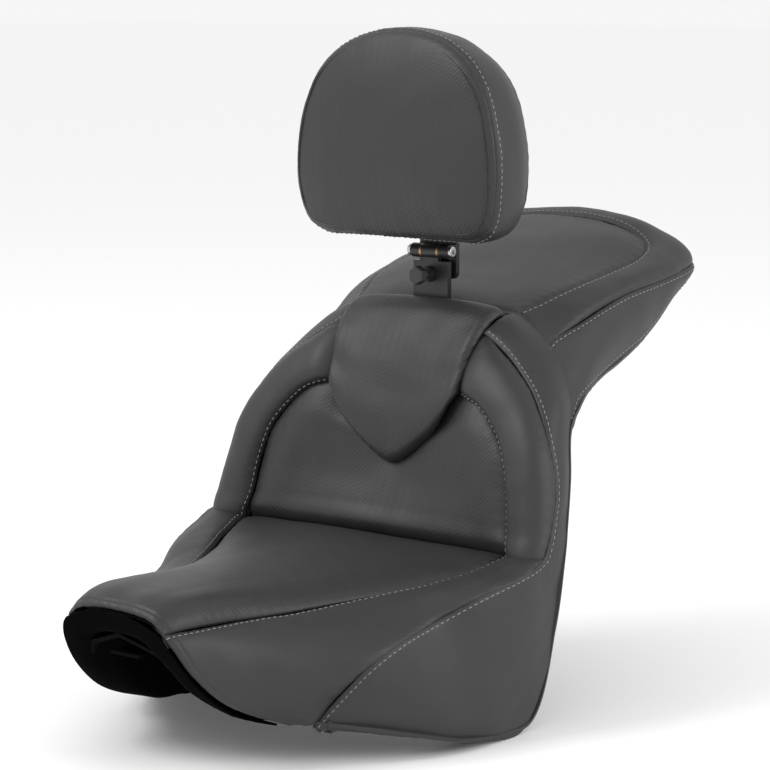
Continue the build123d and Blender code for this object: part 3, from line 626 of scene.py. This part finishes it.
# ---- Shield pad -------------------------------------------------------------
# A separate shield-shaped woven pad over the top of the lumbar arch, standing
# proud of it, with its point down and its top edge rolled over the ridge.
shield_half = [
    [(0, 25, 65), (18, 24, 72), (40, 24, 87), (62, 25, 107), (77, 28, 130), (84, 34, 141)],
    [(0, 22, 78), (20, 21, 86), (43, 21, 100), (64, 22, 118), (79, 26, 139), (86, 34, 148)],
    [(0, 22, 108), (24, 21, 112), (47, 21, 120), (67, 23, 134), (80, 28, 150), (87, 35, 158)],
    [(0, 31, 142), (26, 30, 144), (49, 30, 149), (69, 32, 158), (82, 36, 168), (89, 42, 174)],
    [(0, 40, 172), (28, 40, 173), (51, 40, 176), (71, 41, 182), (84, 44, 188), (91, 50, 191)],
    [(0, 53, 200), (30, 53, 200), (54, 53, 201), (73, 54, 203), (86, 57, 206), (93, 62, 207)],
    [(0, 68, 221), (31, 68, 221), (56, 68, 220), (75, 69, 219), (88, 71, 218), (95, 74, 216)],
    [(0, 84, 229), (31, 84, 229), (57, 84, 228), (76, 84, 226), (89, 85, 223), (96, 86, 220)],
    [(0, 98, 222), (31, 98, 222), (57, 98, 221), (76, 98, 220), (89, 98, 218), (96, 98, 216)],
]
grid = at(net(both_sides(shield_half), 150, 130))
piece, *_ = cushion(
    "shield_pad_cover", grid, (0, -1, 0.3),
    ((0.007, 0.016), (0.003, 0.008), (0.006, 0.015), (0.006, 0.015)), weave_with_painted_shade, depth=0.006, flat=grid[..., ::2],
)
dressed(piece, "seat", ["shield_pad"])


# ---- Pillion insert ---------------------------------------------------------
# The passenger's seat has a plain vinyl centre, crowned towards the tail, which
# a stitched seam joins to the band around it.
pillion_half = [
    [(0, 92, 221), (38, 92, 221), (72, 94, 220), (103, 98, 217)],
    [(0, 108, 230), (41, 108, 230), (78, 110, 228), (109, 112, 223)],
    [(0, 147, 243), (47, 147, 243), (90, 147, 241), (122, 147, 237)],
    [(0, 185, 255), (50, 185, 255), (95, 184, 252), (129, 183, 246)],
    [(0, 220, 268), (52, 220, 267), (99, 219, 262), (132, 218, 253)],
    [(0, 262, 283), (53, 262, 281), (100, 262, 274), (132, 260, 261)],
    [(0, 292, 292), (50, 291, 290), (94, 288, 283), (128, 283, 268)],
    [(0, 314, 298), (44, 313, 296), (86, 309, 288), (116, 301, 277)],
]
grid = at(net(both_sides(pillion_half), 130, 140))
piece, *_ = cushion(
    "pillion_insert_panel", grid, (0, -0.2, 1),
    ((0.004, 0.012), (0.003, 0.010), (0.003, 0.010), (0.003, 0.010)), vinyl, flat=grid[..., :2],
)
dressed(piece, "seat", ["pillion_insert_cover", "pillion_gel_pad", "pillion_foam"])


# ---- Pillion band -----------------------------------------------------------
# One vinyl band runs round the passenger's insert, over both shoulders and the
# tail, and ends at the side seam.
band_half = [
    [(0, 311, 298), (0, 330, 305), (0, 346, 299), (0, 353, 280), (0, 352, 257)],
    [(44, 310, 296), (46, 328, 302), (48, 343, 296), (50, 351, 277), (50, 352, 257)],
    [(86, 306, 288), (93, 323, 294), (99, 339, 289), (104, 348, 273), (106, 350, 257)],
    [(111, 299, 277), (126, 314, 280), (139, 328, 276), (147, 336, 266), (150, 340, 254)],
    [(124, 284, 268), (138, 289, 269), (150, 295, 264), (158, 298, 257), (161, 300, 247)],
    [(130, 261, 261), (142, 262, 260.5), (152, 263, 257), (159, 264, 250), (162, 265, 241)],
    [(130, 218, 253), (141, 216, 250.5), (151, 213, 246), (157, 210, 240), (160, 207, 232)],
    [(127, 183, 245.5), (137, 180, 242.5), (147, 176, 237), (154, 172, 230), (157, 169, 221)],
    [(120, 147, 236.5), (130, 145, 232.5), (141, 142, 226), (149, 139, 218), (153, 136, 209)],
    [(109, 118, 226), (119, 115, 220.5), (130, 111, 211), (140, 107, 203), (147, 104, 197)],
    [(100, 100, 219), (111, 97, 213), (123, 93, 203), (135, 89, 195), (146, 86, 188)],
]


def round_the_tail(rows):
    """Rows that start at the middle of the tail, with their mirror images before them."""
    return [[(-x, y, z) for x, y, z in row] for row in rows[:0:-1]] + rows


def outwards(grid, rise):
    """A rough way out at each point, away from the seat's middle line, with that much rise."""
    return np.stack([grid[..., 0] * 4, grid[..., 1], np.full(grid.shape[:2], rise)], axis=-1)


grid = at(net(round_the_tail(band_half), 300, 60, crowd_s=0.2))
piece, face, normal = cushion(
    "pillion_band", grid, outwards(grid, 0.6),
    ((0.003, 0.010), (0.003, 0.010), (0.002, 0.007), (0.003, 0.010)), vinyl,
)
dressed(piece, "seat", ["pillion_band_cover"])
sewn(face, normal, "seat", ("pillion_insert_stitching", 2, 0.0065))


# ---- Pillion side -----------------------------------------------------------
# Below the side seam the passenger's seat is closed by a vinyl side that narrows
# to the tail and turns in at its lower hem.
skirt_half = [
    [(0, 351, 257), (0, 350, 252), (0, 346, 247)],
    [(50, 352, 257), (50, 351, 252), (50, 346, 247)],
    [(106, 350, 257), (107, 348, 251), (103, 343, 245)],
    [(150, 340, 254), (150, 336, 245), (143, 324, 233)],
    [(161, 300, 247), (160, 297, 233), (152, 292, 213)],
    [(162, 265, 241), (161, 258, 218), (155, 248, 184)],
    [(160, 207, 232), (164, 203, 202), (160, 198, 164)],
    [(157, 169, 221), (167, 162, 189), (166, 152, 150)],
    [(153, 136, 209), (169, 128, 175), (173, 122, 140)],
    [(147, 104, 197), (170, 98, 160), (181, 98, 128)],
    [(146, 86, 188), (171, 80, 150), (188, 74, 110)],
    [(141, 72, 184), (165, 66, 148), (182, 62, 110)],
]
grid = at(net(round_the_tail(skirt_half), 300, 50, crowd_s=0.2))
piece, face, normal = cushion(
    "pillion_side", grid, outwards(grid, 0.1),
    (None, None, (0.003, 0.009), (0.002, 0.007)), vinyl, depth=0.009,
)
dressed(piece, "seat", ["pillion_side_cover"])
sewn(face, normal, "seat", ("pillion_side_stitching", 2, 0.0055), ("pillion_hem_stitching", 3, 0.012))


# ---- Hem returns ------------------------------------------------------------
# The covers turn in under the seat and are riveted to the base pan, which
# leaves a strip of vinyl round its whole lower and rear edge.
hem_half = [
    [(0, 347, 249), (0, 300, 252)],
    [(50, 347, 249), (46, 300, 252)],
    [(102, 344, 247), (92, 300, 248)],
    [(143, 325, 235), (112, 292, 238)],
    [(152, 293, 215), (116, 282, 220)],
    [(155, 249, 186), (120, 240, 198)],
    [(160, 199, 166), (124, 196, 180)],
    [(166, 153, 152), (130, 148, 166)],
    [(173, 123, 142), (136, 114, 152)],
    [(181, 99, 130), (146, 84, 130)],
    [(189, 75, 112), (152, 60, 104)],
    [(200, 59, 68), (164, 42, 66)],
    [(208, 45, 34), (172, 28, 36)],
    [(213, 34, 0), (176, 16, 2)],
    [(211, 22, -70), (174, 6, -68)],
    [(201, -7, -160), (168, -16, -154)],
    [(203, -55, -161), (170, -56, -152)],
    [(201, -105, -156), (164, -98, -148)],
    [(174, -170, -140), (136, -150, -134)],
    [(136, -218, -130), (108, -198, -126)],
    [(101, -232, -129), (84, -214, -124)],
]
for side, way in (("left", 1), ("right", -1)):
    grid = at(net(hem_half, 260, 12, crowd_s=0.1, crowd_t=0.2)) * (way, 1, 1)
    piece, *_ = cushion(
        f"hem_return_{side}", grid, (0, 0.4, -1), (None, None, None, (0.001, 0.004)), vinyl,
        depth=0.004,
    )
    dressed(piece, "seat", [])


# ---- Backrest pad face ------------------------------------------------------
# The driver's backrest has a domed woven face, taller than a half round, whose
# edge rolls in to the seam with the boxing band.
pad_half = [
    (0, 43, 290), (34, 43, 290), (68, 42, 290), (96, 41, 291), (113, 39, 299), (123, 37, 315),
    (127.5, 35, 335), (129, 34, 359), (127.5, 34, 384), (123.5, 34, 405), (116, 35, 429), (105, 35, 450),
    (90, 36, 466.5), (72, 37, 479.5), (50, 39, 489), (28, 40, 494), (0, 41, 496),
]
rim = at(through(pad_half + [(-x, y, z) for x, y, z in pad_half[-2:0:-1]] + pad_half[:1], 321))[:-1]
pad_middle = at((0, 36, 386))
reach = 1 - (1 - np.linspace(0.0005, 1, 90)) ** 1.35
crown = 0.0185 * (1 - reach**2.3) ** 0.62
grid = pad_middle + (rim - pad_middle)[:, None, :] * reach[None, :, None]
grid[..., 1] = pad_middle[1] + (rim[:, 1] - pad_middle[1])[:, None] * reach**2 - crown
piece, *_ = cushion(
    "backrest_face", grid, (0, -1, 0), (None, None, None, (0.005, 0.013)), weave_with_painted_shade, depth=0.010,
    flat=grid[..., ::2], ring=True,
)
dressed(piece, "backrest", ["pad_face_cover", "pad_foam"])


# ---- Backrest boxing --------------------------------------------------------
# A vinyl band goes round the pad between its face and its back, a little fuller
# in the middle, with the thread on the face's side.
band_reach = through([[0, 1.0, 0], [0.30, 1.004, 0], [0.62, 0.985, 0], [1, 0.905, 0]], 60, 0.6)
grid = pad_middle + (rim - pad_middle)[:, None, :] * band_reach[None, :, 1:2]
grid[..., 1] = rim[:, 1][:, None] + (at((0, 99, 0))[1] - rim[:, 1])[:, None] * band_reach[None, :, 0]
piece, face, normal = cushion(
    "backrest_boxing", grid, grid - pad_middle, (None, None, (0.004, 0.010), (0.003, 0.009)), vinyl,
    depth=0.010, ring=True, grooves=((0, 0.106, 0.0016, 0.0011), (0, 0.112, 0.0010, 0.0009)),
)
dressed(piece, "backrest", ["pad_boxing_band"])
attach(stitches("backrest_boxing_stitching", face, normal, 2, 0.0065, ring=True), "backrest")


# ---- Backrest back cover ----------------------------------------------------
# The pad's back is a flat vinyl cover drawn over its board, with a soft edge.
back_rim = pad_middle + (rim - pad_middle) * 0.905
reach = 1 - (1 - np.linspace(0.0005, 1, 60)) ** 1.3
grid = pad_middle + (back_rim - pad_middle)[:, None, :] * reach[None, :, None]
grid[..., 1] = at((0, 103, 0))[1]
piece, *_ = cushion(
    "backrest_back", grid, (0, 1, 0), (None, None, None, (0.005, 0.014)), vinyl, depth=0.004,
    ring=True, give=0.0003,
)
dressed(piece, "backrest", ["pad_back_cover", "pad_board"])
